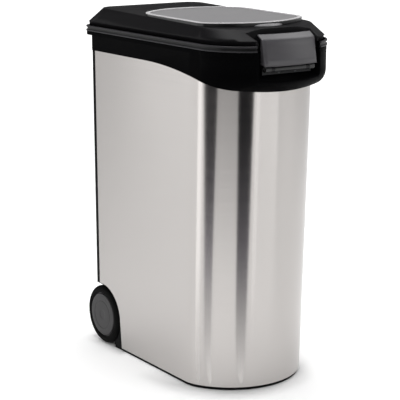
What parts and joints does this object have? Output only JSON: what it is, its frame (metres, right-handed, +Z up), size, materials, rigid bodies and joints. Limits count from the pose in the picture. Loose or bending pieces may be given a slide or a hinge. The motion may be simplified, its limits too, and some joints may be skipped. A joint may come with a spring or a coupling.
{
  "type": "pet food storage container",
  "caption": "Tall wheeled bin for dry pet food: metal clad tub with a hinged black lid, a pouring hatch and a front clasp.",
  "frame": {"origin": "centre of the overall box in plan, on the floor", "axes": "+Z up, the round front with the latch faces -Y, the wheels and the lid's hinge are at +Y"},
  "size_m": [0.232, 0.4659, 0.604],
  "materials": {
    "black_plastic": "satin moulded black plastic",
    "lid_plastic": "satin moulded black plastic with a soft sheen",
    "brushed_sheet": "vertically brushed stainless sheet",
    "grey_plastic": "satin anthracite plastic",
    "hatch_plastic": "smoky grey plastic, slightly clear",
    "rim_plastic": "pale silver plastic",
    "hub_plastic": "satin grey plastic",
    "tyre_rubber": "matt black rubber",
    "seal_rubber": "soft black rubber",
    "pin_steel": "turned steel"
  },
  "bodies": {
    "tub": {"tub": "black_plastic", "steel_wrap": "brushed_sheet", "collar": "black_plastic", "rim_band": "grey_plastic", "latch_bracket": "grey_plastic", "bracket_screws": "pin_steel", "latch_pin": "pin_steel", "axle": "pin_steel", "lid_hinge_pins": "pin_steel", "axle_clip_left": "pin_steel", "axle_clip_right": "pin_steel"},
    "lid": {"lid": "lid_plastic", "lid_seal": "seal_rubber", "hatch_hinge_pin": "pin_steel"},
    "hatch": {"hatch_panel": "hatch_plastic", "hatch_rim": "rim_plastic", "hatch_tab": "rim_plastic", "hatch_seal": "seal_rubber"},
    "latch": {"latch_cover": "grey_plastic"},
    "wheel_left": {"tyre_left": "tyre_rubber", "wheel_hub_left": "hub_plastic", "hub_cap_left": "hub_plastic"},
    "wheel_right": {"tyre_right": "tyre_rubber", "wheel_hub_right": "hub_plastic", "hub_cap_right": "hub_plastic"}
  },
  "joints": [
    {"name": "lid_hinge", "type": "hinge", "parent": "tub", "child": "lid", "pos_m": [0, 0.2275, 0.566], "axis": [-1, 0, 0], "range_deg": [0, 105]},
    {"name": "hatch_hinge", "type": "hinge", "parent": "lid", "child": "hatch", "pos_m": [0, 0.0857, 0.60085], "axis": [-1, 0, 0], "range_deg": [0, 110]},
    {"name": "latch_pivot", "type": "hinge", "parent": "tub", "child": "latch", "pos_m": [0, -0.2205, 0.5336], "axis": [1, 0, 0], "range_deg": [0, 80]},
    {"name": "wheel_left_spin", "type": "hinge", "parent": "tub", "child": "wheel_left", "pos_m": [-0.1, 0.163, 0.0527], "axis": [1, 0, 0], "continuous": true},
    {"name": "wheel_right_spin", "type": "hinge", "parent": "tub", "child": "wheel_right", "pos_m": [0.1, 0.163, 0.0527], "axis": [1, 0, 0], "continuous": true}
  ]
}
